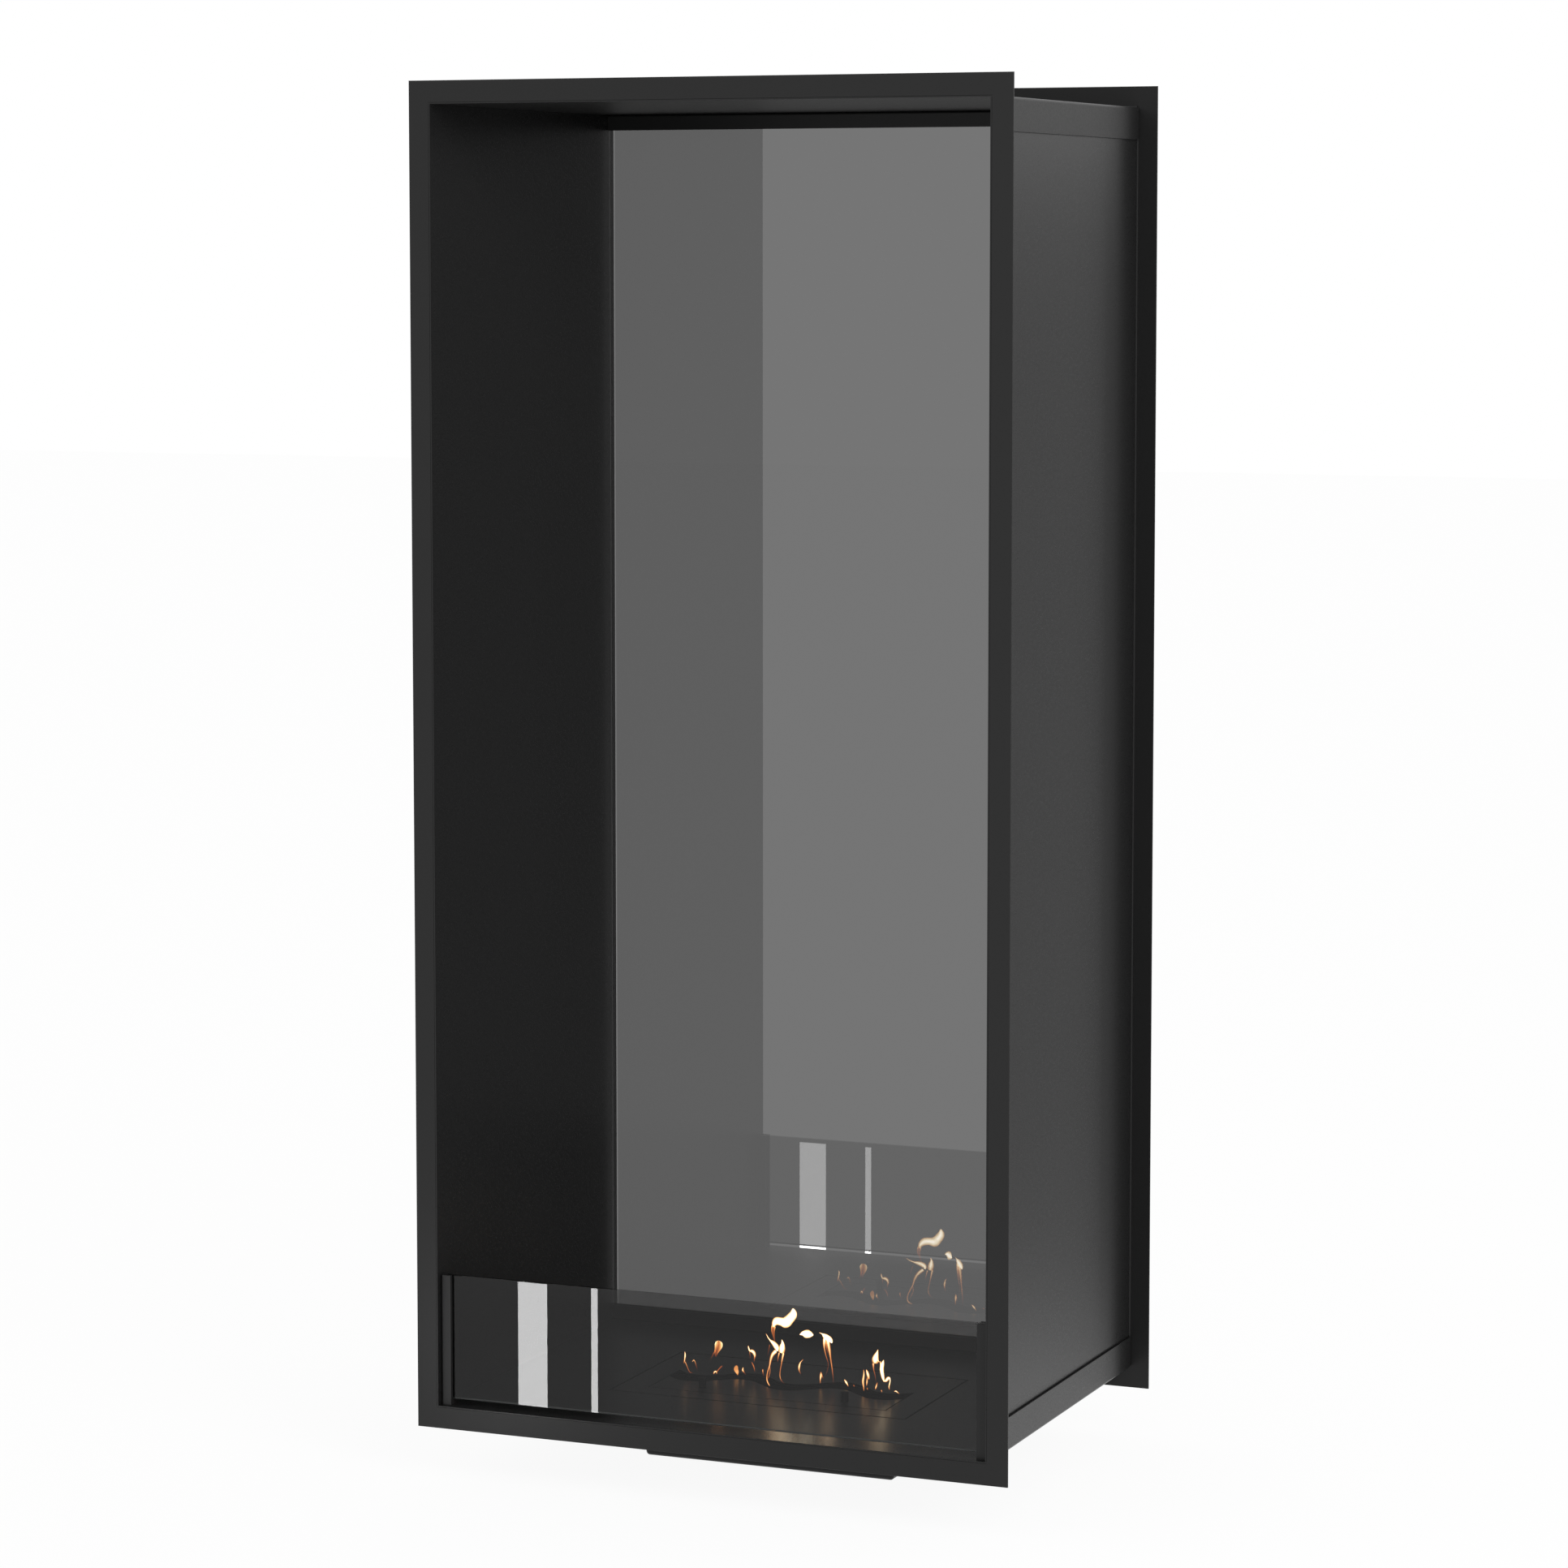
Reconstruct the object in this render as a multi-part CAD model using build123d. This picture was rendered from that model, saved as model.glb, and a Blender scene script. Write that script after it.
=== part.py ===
from build123d import *
import math
import os

# A tall built-in bioethanol fireplace: a sheet-steel case with a trim frame at each end, a full-height
# tinted glass at the back, a low glass at the front and a lift-out burner let into the floor.
# Frame: +X to the viewer's right, +Y into the wall, +Z up, in millimetres.
# Origin: middle of the edge where the wall's surface meets the floor of the niche.

# ---------------------------------------------------------------- trim frames
FRAME_WIDTH = 600.0
FRAME_HEIGHT = 1280.0
FRAME_STRIP = 20.3           # flat strip outside the case, all the way round
FRAME_THICKNESS = 2.0
FRAME_EDGE_ROUND = 0.4

# ---------------------------------------------------------------- case
CASE_DEPTH = 408.0           # between the two trim frames
CASE_SHEET = 1.5
WELD_BEVEL = 0.25            # taken off the sheets' outer faces where they pass the trim frames
BEND_RADIUS = 1.0            # inside radius of every fold in the case
TOP_BAND = 31.0              # height of the skirts that the top panel folds down
FLOOR_BAND = 31.3            # height of the upstands that the bottom panel folds up
BAND_SETBACK = 3.0           # from each trim frame to the skirts and upstands

# ---------------------------------------------------------------- rear glass and its rails
REAR_GLASS = 5.0             # thickness
REAR_GLASS_SIDE_GAP = 1.0
REAR_GLASS_HEAD_GAP = 2.4    # room for heat expansion above the top seal
GLASS_ARRIS = 0.5            # chamfer ground along every long glass edge
RAIL_HEIGHT = 15.5
RAIL_SHEET = 1.5
RAIL_BEND = 0.8
RAIL_SETBACK = 2.0           # from the rear trim frame to the rails
SEAL = 0.5                   # thickness of the glass tape

# ---------------------------------------------------------------- low front glass and its holders
PANE_HEIGHT = 120.0
PANE = 5.0                   # thickness
PANE_LIFT = 5.8              # air gap between the floor and the pane
PANE_PLAY = 0.3              # round the pane, inside the holder's lining
HOLDER_LEG = 10.7            # reach of the holder's legs from the side panel
HOLDER_SHEET = 1.5
HOLDER_BEND = 0.8
HOLDER_SETBACK = 6.0         # from the trim frame's face to the holder
LINING = 2.2                 # thickness of the rubber lining in the holder
PAD_PLAY = 0.2               # round the rest pad, inside the lining

# ---------------------------------------------------------------- holder rivets
RIVET_SHANK = 2.5            # diameter
RIVET_HEAD = 4.3             # diameter
RIVET_HEAD_HEIGHT = 1.0
RIVET_TAIL = 4.0             # diameter
RIVET_TAIL_HEIGHT = 1.2
RIVET_INSET = 40.0           # from each end of the holder
RIVET_FIT = 0.05             # radial
RIVET_POCKET = 0.4           # radial, round the head in the holder's lining

# ---------------------------------------------------------------- burner plate, deck and slot
BURNER_LENGTH = 304.0
BURNER_WIDTH = 168.0
BURNER_GAP = 2.4             # round the burner plate, in the floor's cut-out
BURNER_SHEET = 1.5
LEDGE_REACH = 13.0           # how far the floor's pressed ledge reaches under the burner plate
DECK_GAP = 1.5               # between the deck and the ledge
OPENING_END = 27.8           # from each end of the burner plate to the opening
OPENING_FRONT = 23.6         # from the front of the burner plate to the opening
WAVE_COUNT = 2.5             # waves along the opening
WAVE_SLOPE = 39.0            # degrees, of the straight runs between the crests
WAVE_RADIUS = 25.5           # of the crests
SLOT_WIDTH = 27.0            # flame slot, front to back, when fully open
SLOT_OFFSET = 3.5            # the slot's middle lies this far behind the burner's middle
SLOT_LEDGE = 2.5             # rim of the deck that the closed lid lands on

# ---------------------------------------------------------------- sliding lid
LID_GAP = 1.4                # round the lid, in the burner plate's opening
KNOB_DIAMETER = 7.4
KNOB_HEIGHT = 10.0
KNOB_CHAMFER = 0.6
STUD_DIAMETER = 4.0
STUD_FIT = 0.3               # radial, in the deck's guide slots
STUD_SEAT = 0.05             # radial, in the lid, washer and nut
SLIDE_PLAY = 0.3             # between the deck and the washers
WASHER_DIAMETER = 9.0
WASHER_THICKNESS = 0.8
NUT_ACROSS_FLATS = 7.0
NUT_HEIGHT = 3.2
STUD_END = 0.8               # thread showing below the nut

# ---------------------------------------------------------------- fuel tank and its filling
TANK_END = 22.5              # from each end of the burner plate to the tank
TANK_SIDE = 29.0             # from the front and the back of the burner plate to the tank
TANK_DEPTH = 66.3            # below the deck
TANK_SHEET = 1.2
TANK_CORNER = 4.0            # outside radius of the tank's corners
TANK_RIM = 6.0               # rim welded under the deck
FILLING_GAP = 1.0            # between the absorber and the tank's walls
ABSORBER_HEIGHT = 48.0
SCREEN_SHEET = 1.0
SCREEN_SLOT_LENGTH = 34.0
SCREEN_SLOT_WIDTH = 5.0
SCREEN_COLUMNS = 6
SCREEN_ROWS = 6

# ---------------------------------------------------------------- places worked out from the sizes
case_width = FRAME_WIDTH - 2 * FRAME_STRIP
case_height = FRAME_HEIGHT - 2 * FRAME_STRIP
inner_half = case_width / 2 - CASE_SHEET
band_half = case_width / 2 + BEND_RADIUS + CASE_SHEET
front_face = -FRAME_THICKNESS
back_face = CASE_DEPTH + FRAME_THICKNESS
floor_top = CASE_SHEET
ceiling = case_height - CASE_SHEET

rail_depth = REAR_GLASS + 2 * SEAL + 2 * RAIL_SHEET
rail_y = CASE_DEPTH - RAIL_SETBACK - rail_depth / 2

holder_depth = PANE + 2 * (PANE_PLAY + LINING + HOLDER_SHEET)
holder_y = front_face + HOLDER_SETBACK + holder_depth / 2
pane_bottom = floor_top + PANE_LIFT
pane_top = pane_bottom + PANE_HEIGHT
holder_web = inner_half - HOLDER_SHEET

burner_y = CASE_DEPTH / 2
plate_top = BURNER_SHEET
deck_bottom = -BURNER_SHEET
opening_length = BURNER_LENGTH - 2 * OPENING_END
opening_front = OPENING_FRONT - BURNER_WIDTH / 2
wave_period = opening_length / WAVE_COUNT
wave_corner = wave_period / 4 * math.tan(math.radians(WAVE_SLOPE))
wave_height = wave_corner - WAVE_RADIUS * (1 / math.cos(math.radians(WAVE_SLOPE)) - 1)
lid_edge = SLOT_OFFSET - SLOT_WIDTH / 2
slot_back = SLOT_OFFSET + SLOT_WIDTH / 2
lid_front = opening_front + LID_GAP
lid_travel = SLOT_WIDTH - LID_GAP
knob_x = 0.75 * wave_period
knob_y = (lid_edge - wave_height + opening_front) / 2
washer_top = deck_bottom - SLIDE_PLAY
tank_length = BURNER_LENGTH - 2 * TANK_END
tank_width = BURNER_WIDTH - 2 * TANK_SIDE
tank_floor = deck_bottom - TANK_DEPTH + TANK_SHEET
screen_bottom = tank_floor + ABSORBER_HEIGHT


def rounded_base(width, height, radius):
    """A rectangle that stands on the local X axis, with its two lower corners rounded."""
    upright = Pos(0, height / 2) * Rectangle(width, height)
    return fillet(upright.vertices().group_by(Axis.Y)[0], radius)


def u_profile(width, leg, sheet, bend):
    """A folded channel seen end on: its base on the local X axis, its legs up to +Y."""
    return rounded_base(width, leg, bend + sheet) - Pos(0, sheet) * rounded_base(width - 2 * sheet, leg, bend)


def block(x_range, y_range, z_range):
    """A plain box between two corners."""
    sizes = [high - low for low, high in (x_range, y_range, z_range)]
    middle = [(high + low) / 2 for low, high in (x_range, y_range, z_range)]
    return Pos(*middle) * Box(*sizes)


def mirrored(solid):
    """The same piece on the other side of the fireplace."""
    return mirror(solid, about=Plane.YZ)


def wave_curve(half, mean):
    """The slot's wavy edge, from -half to +half: a zigzag about the mean line with rounded corners."""

    def on_zigzag(x):
        waves = x / wave_period
        return (x, mean - wave_corner * (1 - 4 * abs(waves - round(waves))))

    crests = range(math.ceil(-2 * half / wave_period), math.floor(2 * half / wave_period) + 1)
    corners = [on_zigzag(crest * wave_period / 2) for crest in crests]
    return FilletPolyline(on_zigzag(-half), *corners, on_zigzag(half), radius=WAVE_RADIUS)


def wave_face(half, front, mean):
    """A plate outline that is straight in front and at the sides and wavy behind."""
    back = wave_curve(half, mean)
    sides = Polyline(back @ 0, (-half, front), (half, front), back @ 1)
    return make_face(back + sides)


def slot_face(half, front_mean, back_mean):
    """The gap between two wave edges, closed by straight ends."""
    front = wave_curve(half, front_mean)
    back = wave_curve(half, back_mean)
    ends = Line(front @ 0, back @ 0) + Line(front @ 1, back @ 1)
    return make_face(front + back + ends)


def sheet_at(face, bottom, thickness):
    """A flat plate cut to a face drawn about the burner's middle."""
    return extrude(Pos(0, burner_y, bottom) * face, thickness)


# ---------------------------------------------------------------- trim frames
def trim_frame(near, outward):
    """A flat picture frame round one end of the case; its visible outer edges are eased."""
    outline = Rectangle(FRAME_WIDTH, FRAME_HEIGHT) - Rectangle(case_width, case_height)
    flat = Plane(origin=(0, near, case_height / 2), x_dir=(1, 0, 0), z_dir=(0, 1, 0))
    frame = extrude(flat * outline, FRAME_THICKNESS)
    face_edges = frame.faces().sort_by(Axis.Y)[outward].outer_wire().edges()
    return fillet(face_edges, FRAME_EDGE_ROUND)


# ---------------------------------------------------------------- case
def case_sheet(width):
    """A flat sheet, outer face down, through both trim frames, with its ends bevelled for the weld."""
    section = Polyline(
        (front_face, WELD_BEVEL),
        (0, 0),
        (CASE_DEPTH, 0),
        (back_face, WELD_BEVEL),
        (back_face, CASE_SHEET),
        (front_face, CASE_SHEET),
        close=True,
    )
    return extrude(make_face(Plane.YZ * section), width / 2, both=True)


def folded_pan(band):
    """A case sheet, outer face down, with a band folded up along each side between the trim frames."""
    across = Plane(origin=(0, CASE_DEPTH - BAND_SETBACK, 0), x_dir=(1, 0, 0), z_dir=(0, -1, 0))
    profile = u_profile(2 * band_half, band, CASE_SHEET, BEND_RADIUS)
    return case_sheet(case_width) + extrude(across * profile, CASE_DEPTH - 2 * BAND_SETBACK)


def side_panel():
    """The right side: a flat sheet that stands on the floor, pierced for the holder's rivets."""
    upright = Pos(case_width / 2, 0, case_height / 2) * Rot(0, -90, 0)
    return upright * case_sheet(ceiling - floor_top) - rivet_holes()


def top_panel():
    """The roof, folded down outside the side panels."""
    return Pos(0, 0, case_height) * Rot(0, 180, 0) * folded_pan(TOP_BAND)


def bottom_panel():
    """The floor, folded up outside the side panels, with a ledge pressed down for the burner plate."""
    recess_size = (BURNER_LENGTH + 2 * BURNER_GAP, BURNER_WIDTH + 2 * BURNER_GAP)
    ledge_size = [side + 2 * CASE_SHEET for side in recess_size]
    opening_size = (BURNER_LENGTH - 2 * LEDGE_REACH, BURNER_WIDTH - 2 * LEDGE_REACH)
    recess = sheet_at(Rectangle(*recess_size), 0, floor_top)
    ledge = sheet_at(Rectangle(*ledge_size) - Rectangle(*opening_size), -CASE_SHEET, CASE_SHEET)
    return folded_pan(FLOOR_BAND) - recess + ledge


# ---------------------------------------------------------------- rear glass
def rear_rail(base, up):
    """A channel across the case that takes one edge of the rear glass."""
    along = Plane(origin=(-inner_half, rail_y, base), x_dir=(0, up, 0), z_dir=(1, 0, 0))
    return extrude(along * u_profile(rail_depth, RAIL_HEIGHT, RAIL_SHEET, RAIL_BEND), 2 * inner_half)


def rear_seal(base, up, leg):
    """A strip of glass tape, folded over one edge of the rear glass."""
    half = inner_half - REAR_GLASS_SIDE_GAP
    along = Plane(origin=(-half, rail_y, base), x_dir=(0, up, 0), z_dir=(1, 0, 0))
    return extrude(along * u_profile(REAR_GLASS + 2 * SEAL, leg, SEAL, RAIL_BEND - SEAL), 2 * half)


def arrised(pane):
    """Grind the long edges of a sheet of glass."""
    long_edges = pane.edges().filter_by(Axis.X) + pane.edges().filter_by(Axis.Z)
    return chamfer(long_edges, GLASS_ARRIS)


def rear_glazing():
    """The tinted glass, its two rails and the tape in them."""
    rail_floor = floor_top + RAIL_SHEET
    head_seal = ceiling - RAIL_SHEET - REAR_GLASS_HEAD_GAP
    half = inner_half - REAR_GLASS_SIDE_GAP
    y_range = (rail_y - REAR_GLASS / 2, rail_y + REAR_GLASS / 2)
    glass = block((-half, half), y_range, (rail_floor + SEAL, head_seal - SEAL))
    return {
        "rear_glass": arrised(glass),
        "rear_glass_bottom_rail": rear_rail(floor_top, 1),
        "rear_glass_top_rail": rear_rail(ceiling, -1),
        "rear_glass_bottom_seal": rear_seal(rail_floor, 1, RAIL_HEIGHT - RAIL_SHEET),
        "rear_glass_top_seal": rear_seal(head_seal, -1, RAIL_HEIGHT - RAIL_SHEET - REAR_GLASS_HEAD_GAP),
    }


# ---------------------------------------------------------------- low front glass
def rivet_places():
    """Where the right holder's rivets cross the outside face of its web."""
    heights = (floor_top + RIVET_INSET, pane_top - RIVET_INSET)
    return [Pos(inner_half, holder_y, height) * Rot(0, 90, 0) for height in heights]


def rivet_holes():
    """Drillings for the right holder's rivets, through the web and the side panel."""
    reach = 2 * (HOLDER_SHEET + CASE_SHEET)
    return [place * Cylinder(RIVET_SHANK / 2 + RIVET_FIT, reach) for place in rivet_places()]


def glass_holder():
    """The right holder: a channel that opens towards the pane, riveted to the side panel."""
    upright = Plane(origin=(inner_half, holder_y, floor_top), x_dir=(0, 1, 0), z_dir=(0, 0, 1))
    profile = u_profile(holder_depth, HOLDER_LEG, HOLDER_SHEET, HOLDER_BEND)
    return extrude(upright * profile, pane_top - floor_top) - rivet_holes()


def holder_lining():
    """The rubber lining of the right holder, with pockets for the rivet heads."""
    upright = Plane(origin=(holder_web, holder_y, floor_top), x_dir=(0, 1, 0), z_dir=(0, 0, 1))
    leg = HOLDER_LEG - HOLDER_SHEET
    groove = Pos(0, LINING + leg / 2) * Rectangle(PANE + 2 * PANE_PLAY, leg)
    profile = rounded_base(holder_depth - 2 * HOLDER_SHEET, leg, HOLDER_BEND) - groove
    pocket = Cylinder(RIVET_HEAD / 2 + RIVET_POCKET, 2 * (HOLDER_SHEET + LINING))
    return extrude(upright * profile, pane_top - floor_top) - [place * pocket for place in rivet_places()]


def holder_rivets():
    """The right holder's rivets, head inside the channel and tail outside the case."""
    rivets = []
    for place in rivet_places():
        head = Pos(0, 0, -HOLDER_SHEET - RIVET_HEAD_HEIGHT / 2) * Cylinder(RIVET_HEAD / 2, RIVET_HEAD_HEIGHT)
        head = chamfer(head.edges().sort_by(Axis.Z)[0], RIVET_HEAD_HEIGHT / 2)
        grip = HOLDER_SHEET + CASE_SHEET
        shank = Pos(0, 0, (CASE_SHEET - HOLDER_SHEET) / 2) * Cylinder(RIVET_SHANK / 2, grip)
        tail = Pos(0, 0, CASE_SHEET + RIVET_TAIL_HEIGHT / 2) * Cylinder(RIVET_TAIL / 2, RIVET_TAIL_HEIGHT)
        rivets.append(place * (head + shank + tail))
    return rivets


def rest_pad():
    """The soft block at the bottom of the right holder that the pane stands on."""
    half_depth = PANE / 2 + PANE_PLAY - PAD_PLAY
    x_range = (inner_half - HOLDER_LEG, holder_web - LINING - PAD_PLAY)
    return block(x_range, (holder_y - half_depth, holder_y + half_depth), (floor_top, pane_bottom))


def front_pane():
    """The low glass that stands in the two holders."""
    half = holder_web - LINING - PANE_PLAY
    y_range = (holder_y - PANE / 2, holder_y + PANE / 2)
    return arrised(block((-half, half), y_range, (pane_bottom, pane_top)))


# ---------------------------------------------------------------- burner
def burner_plate():
    """The flat cover let into the floor, with the opening for the lid and the wavy flame slot."""
    outline = Rectangle(BURNER_LENGTH, BURNER_WIDTH)
    opening = wave_face(opening_length / 2, opening_front, slot_back)
    return sheet_at(outline - opening, 0, BURNER_SHEET)


def guide_slots():
    """Straight slots that the lid's studs run in."""
    straight = SlotCenterToCenter(lid_travel, STUD_DIAMETER + 2 * STUD_FIT, rotation=90)
    middle = knob_y + lid_travel / 2
    return [Pos(side * knob_x, middle) * straight for side in (-1, 1)]


def burner_deck():
    """The plate under the lid: it carries the lid and holds the slot's rim and the guide slots."""
    length = BURNER_LENGTH - 2 * (LEDGE_REACH + DECK_GAP)
    width = BURNER_WIDTH - 2 * (LEDGE_REACH + DECK_GAP)
    flame_slot = slot_face(opening_length / 2 - SLOT_LEDGE, lid_edge, slot_back - SLOT_LEDGE)
    outline = Rectangle(length, width) - flame_slot - guide_slots()
    return sheet_at(outline, deck_bottom, BURNER_SHEET)


def tank_body(inset, height):
    """A box under the deck with rounded walls and bottom, open above."""
    radius = TANK_CORNER - inset
    body = Box(tank_length - 2 * inset, tank_width - 2 * inset, height)
    body = fillet(body.edges().filter_by(Axis.Z), radius)
    body = fillet(body.faces().sort_by(Axis.Z)[0].edges(), radius)
    return Pos(0, burner_y, deck_bottom - height / 2) * body


def burner_tank():
    """The folded fuel tank, with the rim by which it is welded under the deck."""
    rim_outline = RectangleRounded(tank_length + 2 * TANK_RIM, tank_width + 2 * TANK_RIM, TANK_CORNER)
    rim = sheet_at(rim_outline, deck_bottom - TANK_SHEET, TANK_SHEET)
    return tank_body(0, TANK_DEPTH) + rim - tank_body(TANK_SHEET, TANK_DEPTH - TANK_SHEET)


def filling_outline():
    """What lies loose in the tank clears its walls and corners by the same gap."""
    inset = TANK_SHEET + FILLING_GAP
    return RectangleRounded(tank_length - 2 * inset, tank_width - 2 * inset, TANK_CORNER)


def fuel_absorber():
    """The ceramic-fibre block that soaks up the fuel."""
    absorber = sheet_at(filling_outline(), tank_floor, ABSORBER_HEIGHT)
    return fillet(absorber.faces().sort_by(Axis.Z)[0].edges(), TANK_CORNER - TANK_SHEET)


def absorber_screen():
    """The slotted sheet that keeps the absorber down, under the flame slot."""
    pitch_x = tank_length / (SCREEN_COLUMNS + 0.5)
    pitch_y = tank_width / (SCREEN_ROWS + 1)
    slots = GridLocations(pitch_x, pitch_y, SCREEN_COLUMNS, SCREEN_ROWS)
    holes = slots * Rectangle(SCREEN_SLOT_LENGTH, SCREEN_SLOT_WIDTH)
    return sheet_at(filling_outline() - holes, screen_bottom, SCREEN_SHEET)


# ---------------------------------------------------------------- sliding lid
def slider_lid():
    """The lid that slides back over the flame slot; its wavy edge repeats the slot's."""
    outline = wave_face(opening_length / 2 - LID_GAP, lid_front, lid_edge)
    holes = [Pos(side * knob_x, knob_y) * Circle(STUD_DIAMETER / 2 + STUD_SEAT) for side in (-1, 1)]
    return sheet_at(outline - holes, 0, BURNER_SHEET)


def slider_knob():
    """The right pull knob, turned in one piece with the stud that runs in the guide slot."""
    knob = Pos(0, 0, plate_top + KNOB_HEIGHT / 2) * Cylinder(KNOB_DIAMETER / 2, KNOB_HEIGHT)
    knob = chamfer(knob.edges().sort_by(Axis.Z)[-1], KNOB_CHAMFER)
    stud_bottom = washer_top - WASHER_THICKNESS - NUT_HEIGHT - STUD_END
    stud_length = plate_top - stud_bottom
    stud = Pos(0, 0, plate_top - stud_length / 2) * Cylinder(STUD_DIAMETER / 2, stud_length)
    return Pos(knob_x, burner_y + knob_y) * (knob + stud)


def stud_fastener(outline, top, height):
    """A washer or nut on the right stud."""
    ring = outline - Circle(STUD_DIAMETER / 2 + STUD_SEAT)
    return Pos(knob_x, burner_y + knob_y) * extrude(Pos(0, 0, top - height) * ring, height)


def pair(solid):
    """A right-hand piece and its mirror image, kept as two solids of one group."""
    solids = solid if isinstance(solid, list) else [solid]
    return Compound(children=[*solids, *[mirrored(one) for one in solids]])


def build_pieces():
    """Every piece of the fireplace, by the name of its node."""
    washer = stud_fastener(Circle(WASHER_DIAMETER / 2), washer_top, WASHER_THICKNESS)
    nut_outline = RegularPolygon(NUT_ACROSS_FLATS / 2, 6, major_radius=False)
    nut = stud_fastener(nut_outline, washer_top - WASHER_THICKNESS, NUT_HEIGHT)
    return {
        "front_trim_frame": trim_frame(front_face, 0),
        "rear_trim_frame": trim_frame(CASE_DEPTH, -1),
        "right_side_panel": side_panel(),
        "left_side_panel": mirrored(side_panel()),
        "top_panel": top_panel(),
        "bottom_panel": bottom_panel(),
        **rear_glazing(),
        "right_glass_holder": glass_holder(),
        "left_glass_holder": mirrored(glass_holder()),
        "right_holder_lining": holder_lining(),
        "left_holder_lining": mirrored(holder_lining()),
        "holder_rivets": pair(holder_rivets()),
        "right_rest_pad": rest_pad(),
        "left_rest_pad": mirrored(rest_pad()),
        "front_glass": front_pane(),
        "burner_plate": burner_plate(),
        "burner_deck": burner_deck(),
        "burner_tank": burner_tank(),
        "fuel_absorber": fuel_absorber(),
        "absorber_screen": absorber_screen(),
        "slider_lid": slider_lid(),
        "right_slider_knob": slider_knob(),
        "left_slider_knob": mirrored(slider_knob()),
        "slider_washers": pair(washer),
        "slider_nuts": pair(nut),
    }


os.makedirs("parts", exist_ok=True)
for name, piece in build_pieces().items():
    export_step(piece, f"parts/{name}.step")
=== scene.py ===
"""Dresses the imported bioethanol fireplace: coats, glass, welds, fibre, flames, studio and camera.

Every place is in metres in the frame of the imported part: +X to the viewer's right, +Y into the wall and
+Z up. Sizes are written in millimetres and turned to metres with MM.
"""

import logging
import math
from collections.abc import Callable, Iterator, Sequence
from contextlib import contextmanager
from dataclasses import dataclass, field
from enum import Enum

import bpy
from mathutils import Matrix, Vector

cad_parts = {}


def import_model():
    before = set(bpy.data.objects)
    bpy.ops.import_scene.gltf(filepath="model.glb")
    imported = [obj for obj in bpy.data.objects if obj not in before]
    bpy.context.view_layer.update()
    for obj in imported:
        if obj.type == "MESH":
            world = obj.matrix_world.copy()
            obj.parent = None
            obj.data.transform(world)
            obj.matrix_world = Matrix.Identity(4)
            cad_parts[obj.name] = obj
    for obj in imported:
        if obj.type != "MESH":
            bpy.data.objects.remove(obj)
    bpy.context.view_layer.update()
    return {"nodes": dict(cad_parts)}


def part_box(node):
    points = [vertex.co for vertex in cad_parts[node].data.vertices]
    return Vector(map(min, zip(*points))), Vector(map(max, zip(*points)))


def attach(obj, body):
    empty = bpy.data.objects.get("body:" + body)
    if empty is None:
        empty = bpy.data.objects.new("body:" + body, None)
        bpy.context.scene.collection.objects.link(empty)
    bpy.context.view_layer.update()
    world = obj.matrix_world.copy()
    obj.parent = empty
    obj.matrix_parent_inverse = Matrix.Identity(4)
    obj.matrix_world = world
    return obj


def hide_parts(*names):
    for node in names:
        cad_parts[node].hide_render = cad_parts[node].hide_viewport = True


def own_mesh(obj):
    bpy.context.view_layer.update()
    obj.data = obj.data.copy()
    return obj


log = logging.getLogger("fireplace")

MM = 0.001
FLAME_MAP = "flame_place"
NOISE_LOW, NOISE_HIGH = 0.3, 0.7  # most values of a noise texture lie between these

Colour = tuple[float, float, float, float]
Place = tuple[float, float, float]


class Slot(Enum):
    """The record's material slots."""

    CASE = "case_coat"
    RAIL = "black_coat"
    BURNER = "burner_coat"
    KNOB = "knob_coat"
    REAR_GLASS = "tinted_glass"
    LOW_GLASS = "grey_glass"
    TAPE = "glass_tape"
    PAD = "pad_rubber"
    RIVET = "rivet_steel"
    TANK = "tank_coat"
    SCREEN = "screen_steel"
    FASTENER = "fastener_steel"
    FIBRE = "ceramic_fibre"


class Body(Enum):
    """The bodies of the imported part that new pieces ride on."""

    FIREBOX = "firebox"
    BURNER = "burner"


# ---------------------------------------------------------------- nodes and colours
def linear(hex_code: str) -> Colour:
    """Turns an sRGB hex colour to the linear colour that a shader reads.

    Args:
        hex_code: the colour as "#RRGGBB".

    Returns:
        Linear red, green and blue, with an alpha of 1.
    """
    shares = [int(hex_code[start : start + 2], 16) / 255 for start in (1, 3, 5)]
    red, green, blue = (s / 12.92 if s <= 0.04045 else ((s + 0.055) / 1.055) ** 2.4 for s in shares)
    return red, green, blue, 1.0


def add_node(
    tree: bpy.types.NodeTree,
    kind: str,
    inputs: dict[str | int, object] | None = None,
    links: dict[str | int, bpy.types.NodeSocket] | None = None,
    **settings: object,
) -> bpy.types.Node:
    """Adds a shader node with its settings and links.

    Args:
        tree: the node tree of a material, world or light.
        kind: the node's type, without its "ShaderNode" start.
        inputs: constant values, by the name or number of the input.
        links: sockets to link from, by the name or number of the input.
        **settings: the node's own options.

    Returns:
        The new node.
    """
    node = tree.nodes.new(f"ShaderNode{kind}")
    for option, value in settings.items():
        setattr(node, option, value)
    for socket, value in (inputs or {}).items():
        node.inputs[socket].default_value = value
    for socket, source in (links or {}).items():
        tree.links.new(source, node.inputs[socket])
    return node


def new_material(name: str) -> bpy.types.Material:
    """Makes an empty material.

    Args:
        name: the material's name.

    Returns:
        A material that uses nodes and has none yet.
    """
    material = bpy.data.materials.new(name)
    material.use_nodes = True
    material.node_tree.nodes.clear()
    return material


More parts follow.
